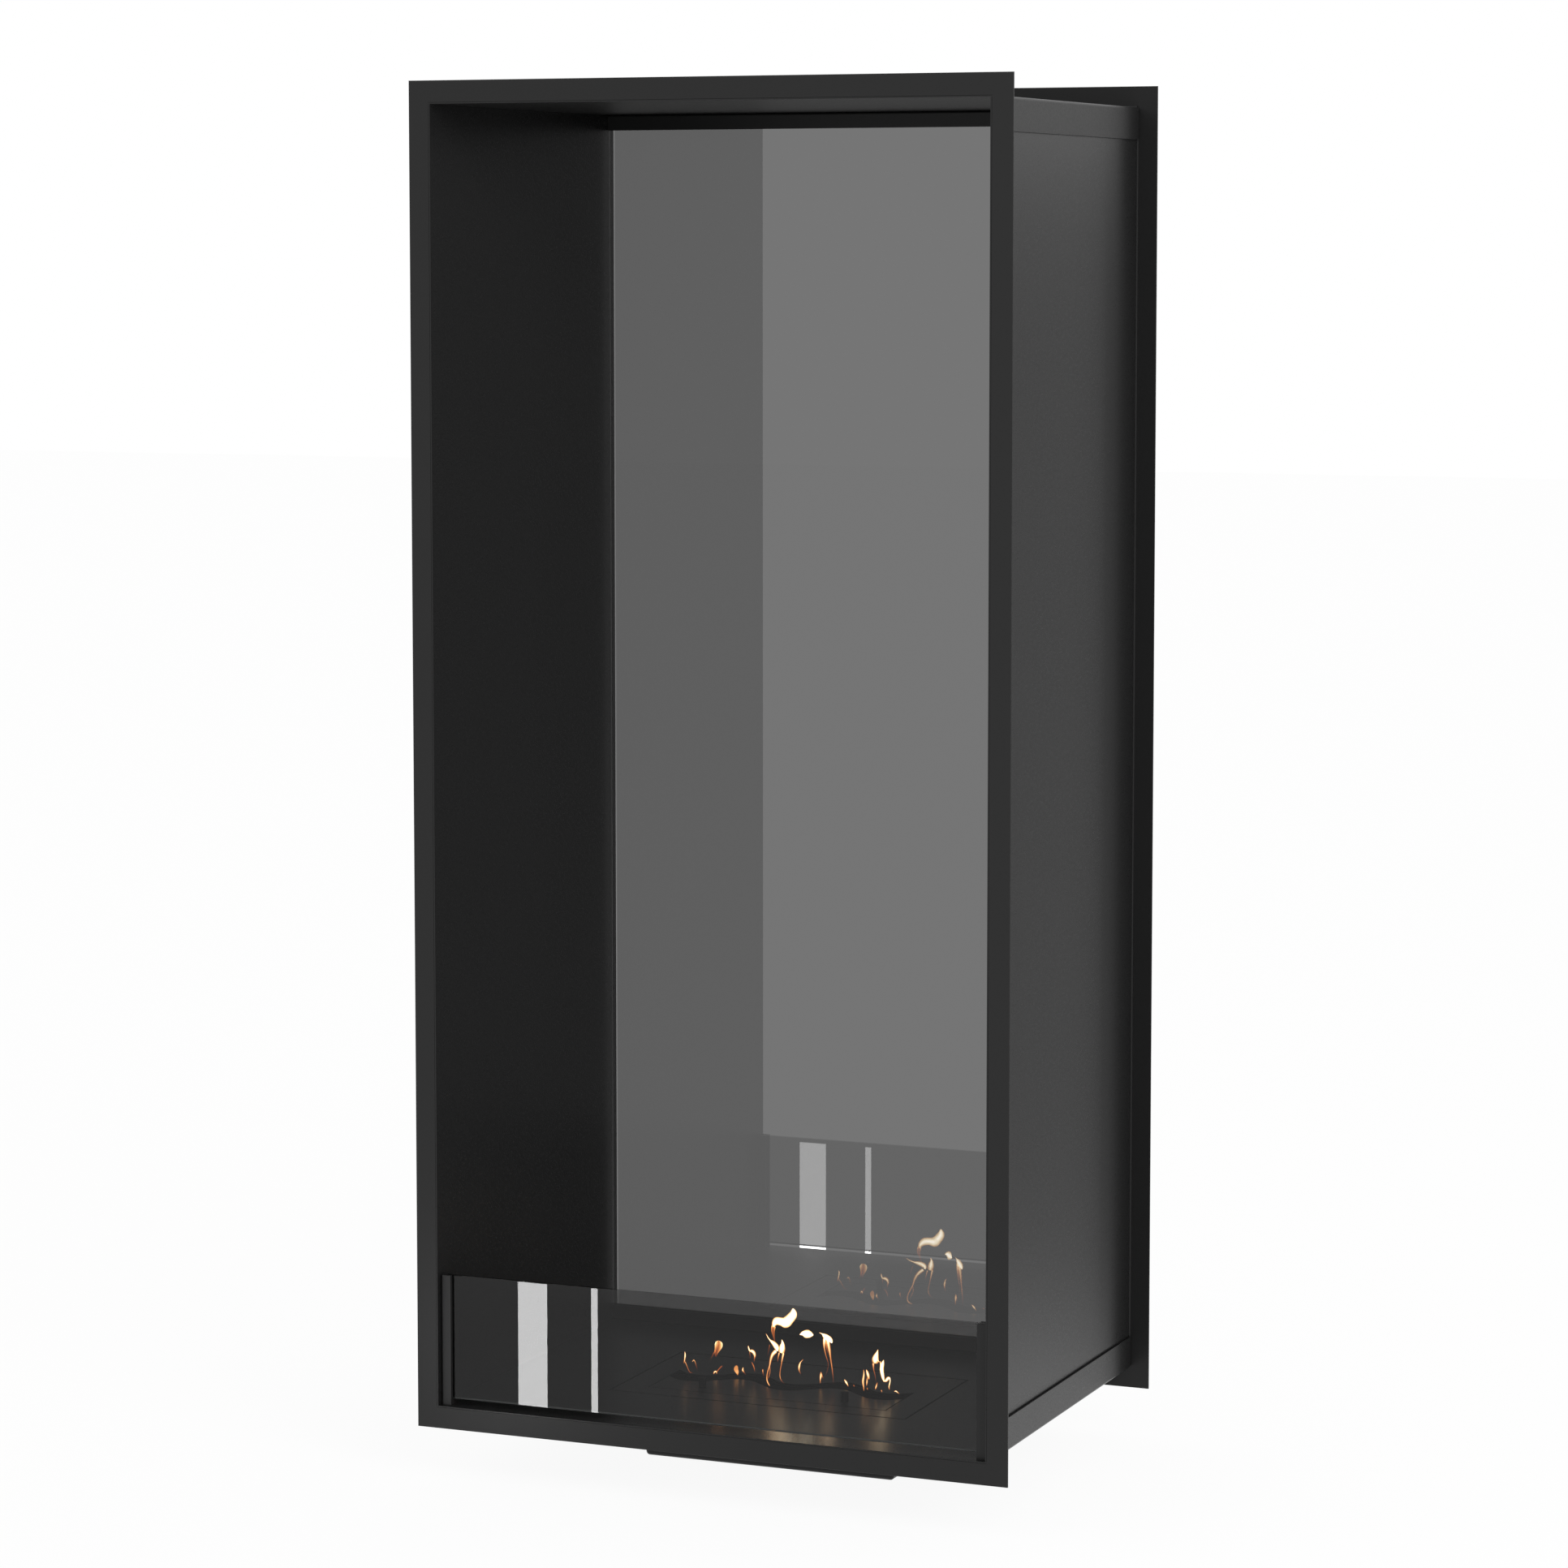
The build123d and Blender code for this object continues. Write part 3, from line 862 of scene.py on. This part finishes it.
TONGUES: dict[str, Tongue] = {
    "far_left_lick": Tongue(
        (
            (-109.5, 12.5, 0.6, 0.25), (-108.5, 15, 1.6, 0.7), (-108, 18.5, 1.4, 0.95),
            (-107.5, 21.5, 1.8, 1.1), (-108, 25, 0.4, 0.9),
        ),
    ),
    "far_left_tail": Tongue(
        (
            (-98.5, 5.5, 0.2, 0.15), (-100.5, 5, 0.6, 0.4), (-102.5, 6, 0.8, 0.4),
            (-105, 10.5, 0.9, 0.55), (-107.5, 15, 0.9, 0.8),
        ),
    ),
    "far_left_hook": Tongue(
        (
            (-94, 8.5, 0.3, 0.2), (-95, 11.5, 0.6, 0.35), (-96, 15, 0.8, 0.6), (-97, 17.5, 0.9, 0.8),
            (-98, 17.5, 1, 0.85), (-99, 16, 0.6, 0.7),
        ),
    ),
    "left_teardrop": Tongue(
        (
            (-78.5, 20.5, 0.8, 0.2), (-78, 24.5, 3.9, 0.5), (-77, 28, 6.5, 0.7), (-76, 32, 9.2, 0.95),
            (-76, 35, 7.5, 1), (-76, 36.5, 1.7, 0.9),
        ),
        0.9,
    ),
    "left_teardrop_tail": Tongue(
        (
            (-83.5, 17.5, 0.2, 0.1), (-81.5, 20.5, 0.8, 0.25), (-80, 24.5, 1.3, 0.4),
            (-78.5, 27.5, 1.2, 0.5),
        ),
    ),
    "left_wisp": Tongue(
        (
            (-80, 3.5, 0.6, 0.5), (-79.5, 5.5, 1.8, 0.95), (-78, 6, 1.8, 0.95), (-77.5, 3.5, 0.6, 0.5),
        ),
    ),
    "left_wisp_feather": Tongue(
        (
            (-78, 5, 0.8, 0.6), (-76, 8, 1.4, 0.4), (-74, 10.5, 1.7, 0.38), (-73, 11, 0.6, 0.3),
        ),
    ),
    "left_bud": Tongue(
        (
            (-60.5, 1, 0.6, 0.6), (-61, 4, 3.6, 0.95), (-62, 7, 5.1, 0.8), (-61.5, 9.5, 3.6, 0.8),
            (-61.5, 11, 0.8, 0.7),
        ),
        0.5,
    ),
    "left_spark": Tongue(
        (
            (-53, 1.5, 0.3, 0.3), (-54.5, 4, 0.8, 0.45), (-56, 6, 2.6, 0.9), (-55.5, 9, 0.6, 0.8),
        ),
    ),
    "braid_horn": Tongue(
        (
            (-50.5, 31, 0.6, 0.8), (-50, 28.5, 1.7, 1.1), (-49, 26, 2, 1.1), (-47, 26, 3.6, 1.1),
            (-44.5, 25, 4.1, 1.1), (-43, 22, 2.8, 0.9), (-43.5, 19, 1.2, 0.5), (-44, 15.5, 0.6, 0.3),
        ),
    ),
    "braid_strand": Tongue(((-48, 16, 0.2, 0.12), (-48.5, 20.5, 0.6, 0.3), (-49, 25, 0.9, 0.7))),
    "braid_root": Tongue(
        (
            (-43, 6, 0.5, 0.3), (-44, 10, 1.4, 0.5), (-45.5, 13, 1.4, 0.5), (-47, 15, 0.6, 0.4),
        ),
    ),
    "middle_bud": Tongue(
        (
            (-30, 2.5, 0.2, 0.12), (-31.5, 6.5, 0.9, 0.35), (-32, 9, 1.4, 0.75), (-32, 11, 0.6, 0.5),
        ),
    ),
    "main_root": Tongue(
        (
            (-21, -3, 1, 0.75), (-25, 0.5, 1.8, 0.8), (-25.5, 6, 1.4, 0.65), (-23.5, 12, 1.6, 0.65),
            (-21, 17.5, 1.8, 0.75), (-19.5, 23.5, 2.8, 0.8), (-16.5, 29.5, 3.8, 1),
            (-11.5, 34, 4.3, 1.25),
        ),
    ),
    "main_root_loop": Tongue(
        (
            (-23.5, 3.5, 0.6, 0.4), (-22, 7, 0.9, 0.5), (-20.5, 11.5, 1, 0.55), (-21, 16.5, 1, 0.6),
        ),
    ),
    "main_arm": Tongue(
        (
            (-10, 34, 2, 1.3), (-10.5, 37.5, 6.1, 1.4), (-15, 40.5, 5.4, 1.3), (-20.5, 42.5, 2, 1.1),
            (-24.5, 45, 1.2, 1), (-27, 47.5, 0.3, 0.8),
        ),
    ),
    "main_wisp": Tongue(((-25, 25, 0.2, 0.12), (-22.5, 32.5, 0.8, 0.3), (-21, 38, 1, 0.5))),
    "main_spear": Tongue(
        (
            (-5, 33, 6.9, 0.95), (-4.5, 36, 7.4, 1.2), (-4, 39, 6.9, 1.4), (-3.5, 43, 3.8, 1.3),
            (-4.5, 46.5, 0.4, 1),
        ),
    ),
    "main_spear_left_leg": Tongue(((-9.5, 23, 0.3, 0.25), (-9, 27.5, 1.2, 0.55), (-7.5, 33, 2, 0.9))),
    "main_spear_right_leg": Tongue(
        (
            (-1, 2.5, 0.2, 0.12), (-4.5, 5.5, 0.7, 0.4), (-6.5, 9, 1, 0.7), (-6.5, 14.5, 1, 0.55),
            (-5, 21.5, 1.2, 0.55), (-4, 27, 1.8, 0.8), (-2.5, 33.5, 2.9, 1),
        ),
    ),
    "main_stem": Tongue(
        (
            (-13.5, 42.5, 0.8, 0.35), (-15, 48, 2, 0.5), (-16, 53.5, 4.3, 0.6), (-15, 58, 4.7, 1),
        ),
        0.8,
    ),
    "main_crest": Tongue(
        (
            (-15, 56.5, 3.4, 0.8), (-14.5, 60, 5.6, 1.3), (-11, 63.5, 9, 1.5), (-5.5, 64, 8.8, 1.6),
            (-0.5, 63.5, 11.9, 1.6), (3.5, 67, 10.3, 1.6), (7, 71.5, 9.5, 1.6), (7.5, 75, 6.8, 1.5),
            (7, 78, 1.8, 1.2),
        ),
    ),
    "loose_blob": Tongue(
        (
            (13, 52, 0.6, 1.2), (15.5, 53, 5.2, 1.6), (18.5, 52.5, 9.7, 1.6), (21.5, 51.5, 7.4, 1.6),
            (24, 51, 1.3, 1.2),
        ),
    ),
    "right_beak": Tongue(
        (
            (28.5, 53, 0.5, 0.9), (31, 51.5, 1.6, 1.2), (33, 49.5, 5.6, 1.5), (36.5, 46, 7, 1.6),
            (38.5, 43.5, 4, 1.5), (39, 42, 0.9, 1.2),
        ),
    ),
    "right_left_leg": Tongue(
        (
            (32.5, 8.5, 0.2, 0.1), (35, 14, 0.6, 0.25), (36, 22, 0.7, 0.3), (34.5, 28, 1.1, 0.5),
            (33, 35.5, 1.6, 0.65), (32.5, 41.5, 2.9, 0.9), (33, 47, 4, 1.3),
        ),
    ),
    "right_right_leg": Tongue(
        (
            (40.5, 0.5, 0.2, 0.1), (40, 10, 0.8, 0.4), (39, 19, 1.5, 0.6), (38, 26.5, 1.8, 0.6),
            (37, 34.5, 3.4, 0.8), (36, 41.5, 4, 1), (35.5, 46.5, 4.5, 1.4),
        ),
    ),
    "right_core": Tongue(((35.5, 32, 0.4, 0.25), (34.5, 38.5, 1.8, 0.5), (34, 44.5, 3.8, 0.8))),
    "bow": Tongue(
        (
            (14, 13, 0.4, 0.3), (12.5, 16.5, 1.3, 0.65), (12.5, 20.5, 2.6, 0.95),
            (13.5, 24.5, 1.3, 0.9), (16, 27.5, 0.4, 0.6),
        ),
    ),
    "right_bud": Tongue(
        (
            (29.5, 2.5, 0.6, 0.45), (29.5, 6.5, 1.4, 0.8), (30, 10.5, 2.9, 0.95), (30, 14, 0.6, 0.6),
        ),
    ),
    "right_bud_foot": Tongue(((32, 7, 0.5, 0.3), (31, 10, 1.3, 0.55), (30.5, 12.5, 1.1, 0.6))),
    "right_spark": Tongue(
        (
            (55.5, 0, 0.6, 0.5), (54.5, 2, 1.4, 0.9), (53, 4, 2.7, 1.1), (51, 6.5, 0.7, 0.8),
        ),
    ),
    "right_dot": Tongue(((63.5, 1.5, 0.6, 0.35), (62.5, 2.5, 1.4, 0.5), (62, 3, 0.5, 0.35))),
    "comb_left": Tongue(
        (
            (77.5, 1, 0.7, 0.5), (77, 5.5, 1.9, 0.75), (76, 10, 2.8, 0.85), (77.5, 17, 2, 0.9),
            (77, 22, 0.6, 0.6),
        ),
    ),
    "comb_right": Tongue(
        (
            (84.5, 14, 0.7, 0.5), (84.5, 15.5, 2.7, 0.75), (83, 19.5, 3.4, 1.1), (81, 23, 0.7, 0.8),
        ),
    ),
    "comb_right_foot": Tongue(((81.5, 7, 0.6, 0.5), (82, 11, 1.9, 0.85), (82.5, 15.5, 1.1, 0.6))),
    "comb_dot": Tongue(((83, 3.5, 0.5, 0.4), (82.5, 4.5, 1.4, 0.6), (82, 5.5, 0.5, 0.4))),
    "tall_spear": Tongue(
        (
            (92.5, 31.5, 5.9, 0.8), (93, 34.5, 7.9, 1.2), (93.5, 37.5, 6.8, 1.4), (95, 42, 3.4, 1.2),
            (96, 45.5, 0.7, 0.9),
        ),
    ),
    "tall_spear_leg": Tongue(
        (
            (93.5, 13.5, 0.4, 0.12), (93, 19, 0.8, 0.35), (91, 25.5, 1.3, 0.5), (90.5, 31.5, 2.9, 0.9),
        ),
    ),
    "tall_spear_heel": Tongue(((98.5, 33.5, 0.6, 0.6), (97, 34, 1.4, 0.85), (95.5, 35.5, 1.8, 1.1))),
    "tall_spear_foot": Tongue(((93, 6, 0.7, 0.5), (94, 9, 2, 0.9), (95.5, 13.5, 0.6, 0.4))),
    "stepped_spear": Tongue(
        (
            (102.5, 14.5, 1.3, 0.9), (101.5, 18, 3.4, 1.2), (100.5, 23, 4.3, 1.4),
            (100, 27.5, 4.7, 1.4), (101, 32.5, 3.8, 1.3), (102, 36, 0.7, 0.9),
        ),
    ),
    "stepped_spear_ear": Tongue(((98.5, 34.5, 0.6, 0.8), (99, 31.5, 1.8, 1.1), (99.5, 28.5, 1.8, 1.3))),
    "stepped_step": Tongue(
        (
            (102, 16, 1.4, 1), (104, 15.5, 3.1, 1.1), (106, 18, 3.6, 1.2), (107.5, 18.5, 2, 1.2),
            (108, 15, 1.4, 1.1), (107, 10, 1.6, 0.9), (107.5, 7, 0.6, 0.6),
        ),
    ),
    "far_right_dot": Tongue(((100, 4, 0.5, 0.4), (100, 5.5, 1.3, 0.75), (99.5, 6.5, 0.5, 0.5))),
    "far_right_spark": Tongue(
        (
            (116, 2.5, 0.4, 0.5), (114.5, 4, 0.9, 0.9), (113, 5.5, 1.6, 1.1), (111.5, 5, 0.5, 0.7),
        ),
    ),
}


@dataclass
class Flames:
    """The row of flames that stands in the burner's wavy slot."""

    material: bpy.types.Material
    wave_length: float = 99.4 * MM
    wave_height: float = 12.8 * MM
    slot_behind: float = 3.5 * MM
    flatness: float = 0.3
    corners: int = 8
    steps: int = 3
    thinnest: float = 0.25
    hottest: float = 1.6
    hide_depth: float = 5 * MM
    sunk_share: float = 0.02
    tongues: dict[str, Tongue] = field(default_factory=lambda: TONGUES)

    def slot_middle(self, along: float) -> float:
        """Gives the slot's middle line.

        Args:
            along: how far along the slot, from the middle of the burner.

        Returns:
            Its place front to back.
        """
        low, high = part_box("burner_plate")
        wave = self.wave_height * math.cos(2 * math.pi * along / self.wave_length)
        return (low.y + high.y) / 2 + self.slot_behind - wave

    def sections(self, tongue: Tongue) -> list[tuple[Vector, float, float]]:
        """Works out the tongue's cross-sections.

        Args:
            tongue: the tongue.

        Returns:
            For each section its middle, its half width and the way it leans, in radians.
        """
        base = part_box("burner_plate")[1].z
        stations = tongue.spine(self.steps)
        places = [Vector((x * MM, self.slot_middle(x * MM), base + z * MM)) for x, z, _, _ in stations]
        found = []
        for index, (place, station) in enumerate(zip(places, stations)):
            ahead = places[min(index + 1, len(places) - 1)] - places[max(index - 1, 0)]
            lean = math.atan2(ahead.x, ahead.z)
            found.append((place, max(station[2], self.thinnest) / 2 * MM, lean))
        return found

    def model(self, name: str, tongue: Tongue) -> bpy.types.Object:
        """Models a tongue by extruding a lens-shaped section along its middle line.

        Args:
            name: the piece's name.
            tongue: the tongue.

        Returns:
            The mesh object.
        """
        sections = self.sections(tongue)
        place, half, lean = sections[0]
        piece = start_piece(
            name,
            bpy.ops.mesh.primitive_circle_add,
            vertices=self.corners,
            radius=half,
            fill_type="NGON",
            location=place,
        )
        with editing(piece):
            bpy.ops.mesh.select_all(action="SELECT")
            bpy.ops.transform.resize(value=(1, self.flatness, 1), center_override=place)
            bpy.ops.transform.rotate(value=-lean, orient_axis="Y", center_override=place)
            for (place, half, lean), (before, half_before, lean_before) in zip(sections[1:], sections):
                turn = (lean - lean_before + math.pi) % (2 * math.pi) - math.pi
                bpy.ops.mesh.extrude_region_move(TRANSFORM_OT_translate={"value": place - before})
                bpy.ops.transform.rotate(value=-turn, orient_axis="Y", center_override=place)
                bpy.ops.transform.resize(value=(half / half_before,) * 3, center_override=place)
        self.map_place(piece, tongue)
        apply_modifier(piece, "SUBSURF", levels=1, render_levels=1)
        return piece

    def map_place(self, piece: bpy.types.Object, tongue: Tongue) -> None:
        """Gives the tongue the UV map that its material reads.

        Args:
            piece: the tongue's mesh object, one ring of vertices after the other.
            tongue: the tongue.
        """
        heats = [station[3] for station in tongue.spine(self.steps)]
        uv = piece.data.uv_layers.new(name=FLAME_MAP)
        for loop in piece.data.loops:
            ring, corner = divmod(loop.vertex_index, self.corners)
            rim = abs(math.sin(2 * math.pi * corner / self.corners))
            cool = rim + (1 - 2 * rim) * tongue.hollow
            uv.data[loop.index].uv = (heats[ring] / self.hottest, cool)
        for spare in [layer for layer in piece.data.uv_layers if layer.name != FLAME_MAP]:
            piece.data.uv_layers.remove(spare)

    def build(self) -> int:
        """Models every tongue; all ride with the burner.

        Returns:
            How many tongues there are.
        """
        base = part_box("burner_plate")[1].z
        for name, tongue in self.tongues.items():
            piece = self.model(f"flame_{name}", tongue)
            finish_piece(piece, self.material, 180)
            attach(piece, Body.BURNER.value)
            anchor = (0, self.slot_middle(0), base - self.hide_depth)
            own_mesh(piece)
        return len(self.tongues)


# ---------------------------------------------------------------- studio
@dataclass
class Studio:
    """The white studio: world, floor, key light, two strip lights and the camera."""

    fill: float = 0.8
    key_power: float = 40.0
    key_place: Place = (2.6, -1.6, 1.9)
    key_size: float = 1.4
    key_aim: Place = (0, 0.2, 0.6)
    strip_strength: float = 22.0
    strip_behind_glass: float = 10.7
    strip_y: float = -437 * MM
    strip_heights: tuple[float, float] = (-130 * MM, 31 * MM)
    strip_spans: tuple[tuple[float, float], ...] = (
        (-413 * MM, -379 * MM),
        (-328 * MM, -320.5 * MM),
    )
    card_strength: float = 0.26
    card_low: Place = (0.9, 3.0, -0.6)
    card_high: Place = (5.0, 3.0, 1.25)
    floor_size: float = 40.0
    floor_drop: float = 0.2 * MM
    floor_lift: float = 0.93
    camera_place: Place = (1740.6 * MM, -4004.6 * MM, 1103.0 * MM)
    camera_yaw: float = 22.536
    camera_pitch: float = 5.29
    camera_lens: float = 109.291
    camera_rise: float = -0.06
    camera_sensor: float = 36.0
    camera_reach: float = 100.0

    def light_world(self) -> None:
        """Makes a world that is white to the eye, in glass and in gloss, and softer on matt faces."""
        world = bpy.data.worlds.new("white_studio")
        bpy.context.scene.world = world
        world.use_nodes = True
        tree = world.node_tree
        tree.nodes.clear()
        ray = add_node(tree, "LightPath").outputs
        seen = add_node(
            tree, "Math", links={0: ray["Is Camera Ray"], 1: ray["Is Glossy Ray"]}, operation="MAXIMUM"
        ).outputs[0]
        seen = add_node(
            tree, "Math", links={0: seen, 1: ray["Is Transmission Ray"]}, operation="MAXIMUM"
        ).outputs[0]
        strength = add_node(
            tree, "MapRange", {"To Min": self.fill, "To Max": 1.0}, {"Value": seen}
        ).outputs["Result"]
        white = add_node(
            tree, "Background", {"Color": linear("#FFFFFF")}, {"Strength": strength}
        ).outputs[0]
        add_node(tree, "OutputWorld", links={"Surface": white})

    def lay_floor(self) -> None:
        """Lays a white floor just under the tank; gloss and glass see the white world in its place."""
        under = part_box("burner_tank")[0].z - self.floor_drop
        floor = start_piece(
            "studio_floor",
            bpy.ops.mesh.primitive_plane_add,
            size=self.floor_size,
            location=(0, 0, under),
        )
        material = new_material("white_floor")
        tree = material.node_tree
        paint = add_node(tree, "BsdfDiffuse", {"Color": linear("#FFFFFF")}).outputs[0]
        glow = add_node(tree, "Emission", {"Color": linear("#FFFFFF"), "Strength": 1.0}).outputs[0]
        seen = add_node(tree, "LightPath").outputs["Is Camera Ray"]
        share = add_node(tree, "Math", {1: self.floor_lift}, {0: seen}, operation="MULTIPLY").outputs[0]
        both = add_node(tree, "MixShader", links={0: share, 1: paint, 2: glow}).outputs[0]
        add_node(tree, "OutputMaterial", links={"Surface": both})
        floor.data.materials.append(material)
        floor.visible_glossy = floor.visible_transmission = False

    def hang_key(self) -> None:
        """Hangs the soft key light in front of the fireplace, to its right."""
        data = bpy.data.lights.new("key_light", "AREA")
        data.energy = self.key_power
        data.size = self.key_size
        lamp = bpy.data.objects.new("key_light", data)
        bpy.context.collection.objects.link(lamp)
        lamp.visible_glossy = lamp.visible_transmission = False
        lamp.location = self.key_place
        aim = Vector(self.key_aim) - Vector(self.key_place)
        lamp.rotation_euler = aim.to_track_quat("-Z", "Y").to_euler()

    def stand_strips(self) -> None:
        """Stands the two strip lights that the low glass mirrors, dimmer where seen through glass."""
        glow = new_material("strip_light")
        tree = glow.node_tree
        crossed = add_node(tree, "LightPath").outputs["Transparent Depth"]
        strength = add_node(
            tree,
            "MapRange",
            {"To Min": self.strip_strength, "To Max": self.strip_behind_glass},
            {"Value": crossed},
        ).outputs["Result"]
        shine = add_node(
            tree, "Emission", {"Color": linear("#FFFFFF")}, {"Strength": strength}
        ).outputs[0]
        add_node(tree, "OutputMaterial", links={"Surface": shine})
        bottom, top = self.strip_heights
        for number, (left, right) in enumerate(self.strip_spans, 1):
            strip = start_piece(
                f"strip_light_{number}",
                bpy.ops.mesh.primitive_plane_add,
                size=1,
                location=((left + right) / 2, self.strip_y, (bottom + top) / 2),
                rotation=(math.pi / 2, 0, 0),
                scale=(right - left, top - bottom, 1),
            )
            strip.data.materials.append(glow)
            strip.visible_camera = strip.visible_diffuse = strip.visible_shadow = False

    def stand_card(self) -> None:
        """Stands the grey card behind the fireplace that keeps its right side dark.

        A sharp mirror sees through the card, so no pane shows it.
        """
        grey = new_material("grey_card")
        tree = grey.node_tree
        shine = add_node(
            tree, "Emission", {"Color": linear("#FFFFFF"), "Strength": self.card_strength}
        ).outputs[0]
        mirrored = add_node(tree, "LightPath").outputs["Is Singular Ray"]
        clear = add_node(tree, "BsdfTransparent").outputs[0]
        both = add_node(tree, "MixShader", links={0: mirrored, 1: shine, 2: clear}).outputs[0]
        add_node(tree, "OutputMaterial", links={"Surface": both})
        (left, y, bottom), (right, _, top) = self.card_low, self.card_high
        card = start_piece(
            "grey_card",
            bpy.ops.mesh.primitive_plane_add,
            size=1,
            location=((left + right) / 2, y, (bottom + top) / 2),
            rotation=(math.pi / 2, 0, 0),
            scale=(right - left, top - bottom, 1),
        )
        card.data.materials.append(grey)
        card.visible_camera = card.visible_diffuse = False
        card.visible_shadow = card.visible_transmission = False

    def place_camera(self) -> None:
        """Stands the camera where the photographer stood."""
        data = bpy.data.cameras.new("camera")
        data.lens = self.camera_lens
        data.sensor_width = self.camera_sensor
        data.shift_y = self.camera_rise
        data.clip_end = self.camera_reach
        camera = bpy.data.objects.new("camera", data)
        bpy.context.collection.objects.link(camera)
        camera.location = self.camera_place
        camera.rotation_euler = (math.radians(90 - self.camera_pitch), 0, math.radians(self.camera_yaw))
        bpy.context.scene.camera = camera

    def build(self) -> None:
        """Builds the studio."""
        bpy.context.scene.view_settings.view_transform = "Standard"
        self.light_world()
        self.lay_floor()
        self.hang_key()
        self.stand_strips()
        self.stand_card()
        self.place_camera()


def main() -> None:
    logging.basicConfig(level=logging.INFO, format="%(name)s: %(message)s")
    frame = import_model()
    palette = Palette()
    palette.dress(frame["nodes"])
    log.info("dressed %d nodes", len(frame["nodes"]))
    log.info("modelled %d welds", Case(palette).build())
    log.info("modelled %d fibre block", Burner(palette).build())
    log.info("modelled %d tongues of flame", Flames(Flame("ethanol_flame", 11.0).material()).build())
    Studio().build()


if __name__ == "__main__":
    main()
